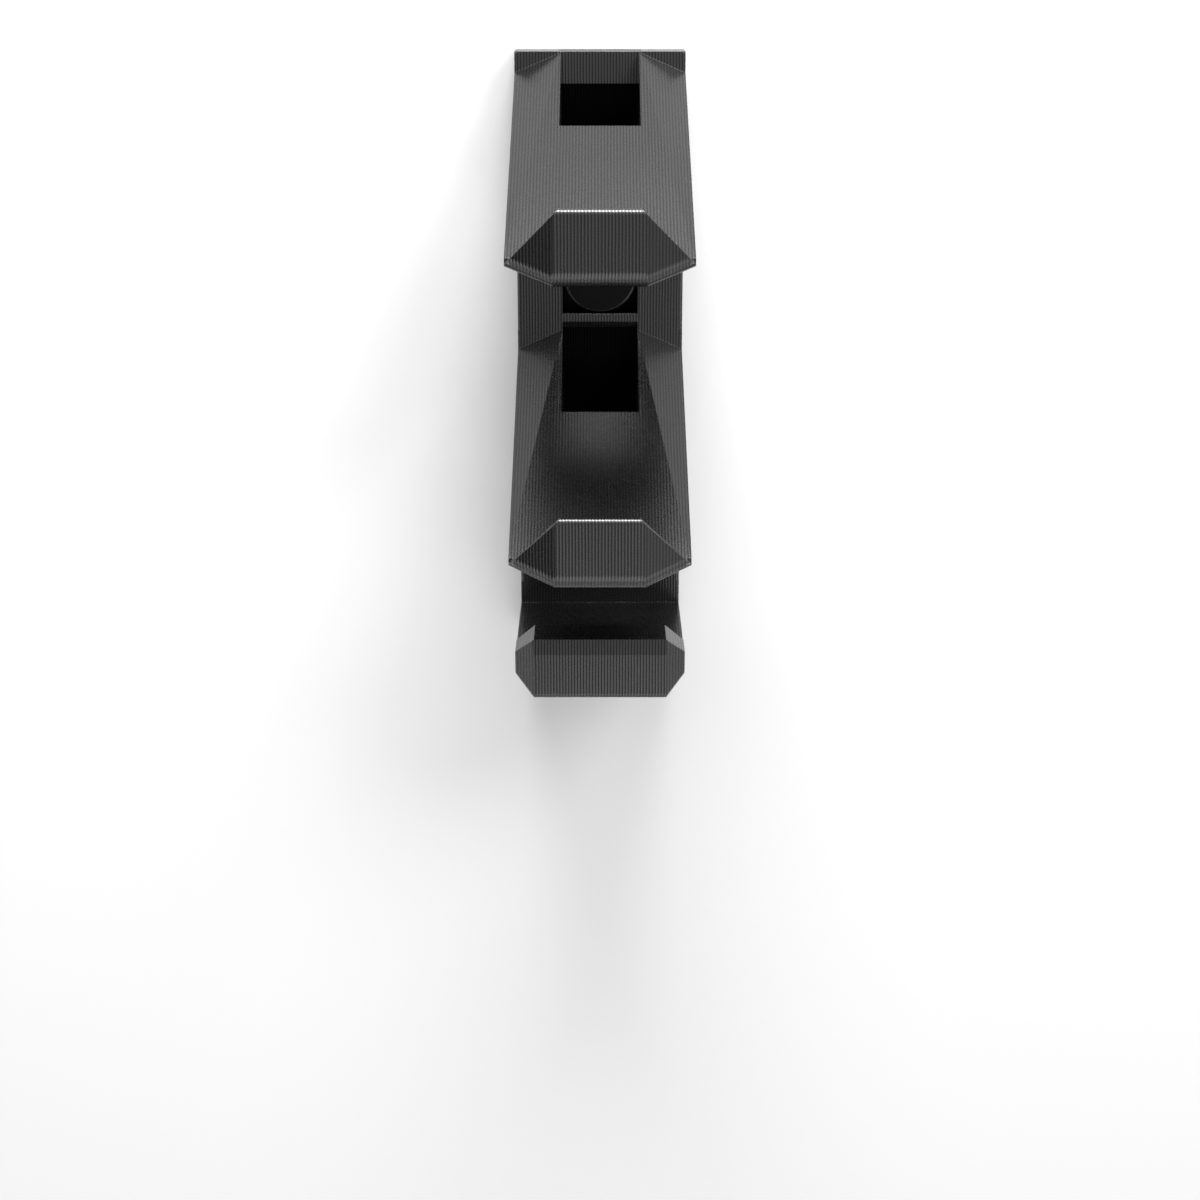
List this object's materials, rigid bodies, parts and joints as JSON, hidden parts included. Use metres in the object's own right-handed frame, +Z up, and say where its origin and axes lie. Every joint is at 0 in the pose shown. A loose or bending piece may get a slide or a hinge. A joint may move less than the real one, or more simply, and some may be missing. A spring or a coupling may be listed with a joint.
{
  "type": "game controller wall mount",
  "caption": "Printed wall mount with hexagonal cradles for game controllers and a hook for a headset, screwed on through a covered channel.",
  "frame": {"origin": "centre of the back face that lies on the wall, on the width's middle line", "axes": "+Z up the wall, the cradles reach out along -Y, X across the width"},
  "size_m": [0.06, 0.1605, 0.218],
  "materials": {
    "printed_plastic": "black, with fine upright print lines and a satin sheen",
    "cover_plastic": "smooth matte black",
    "screw_steel": "zinc plated"
  },
  "bodies": {
    "root": {"mount_body": "printed_plastic", "upper_screw_cover": "cover_plastic", "lower_screw_cover": "cover_plastic", "upper_wall_screw": "screw_steel", "lower_wall_screw": "screw_steel"}
  },
  "joints": []
}
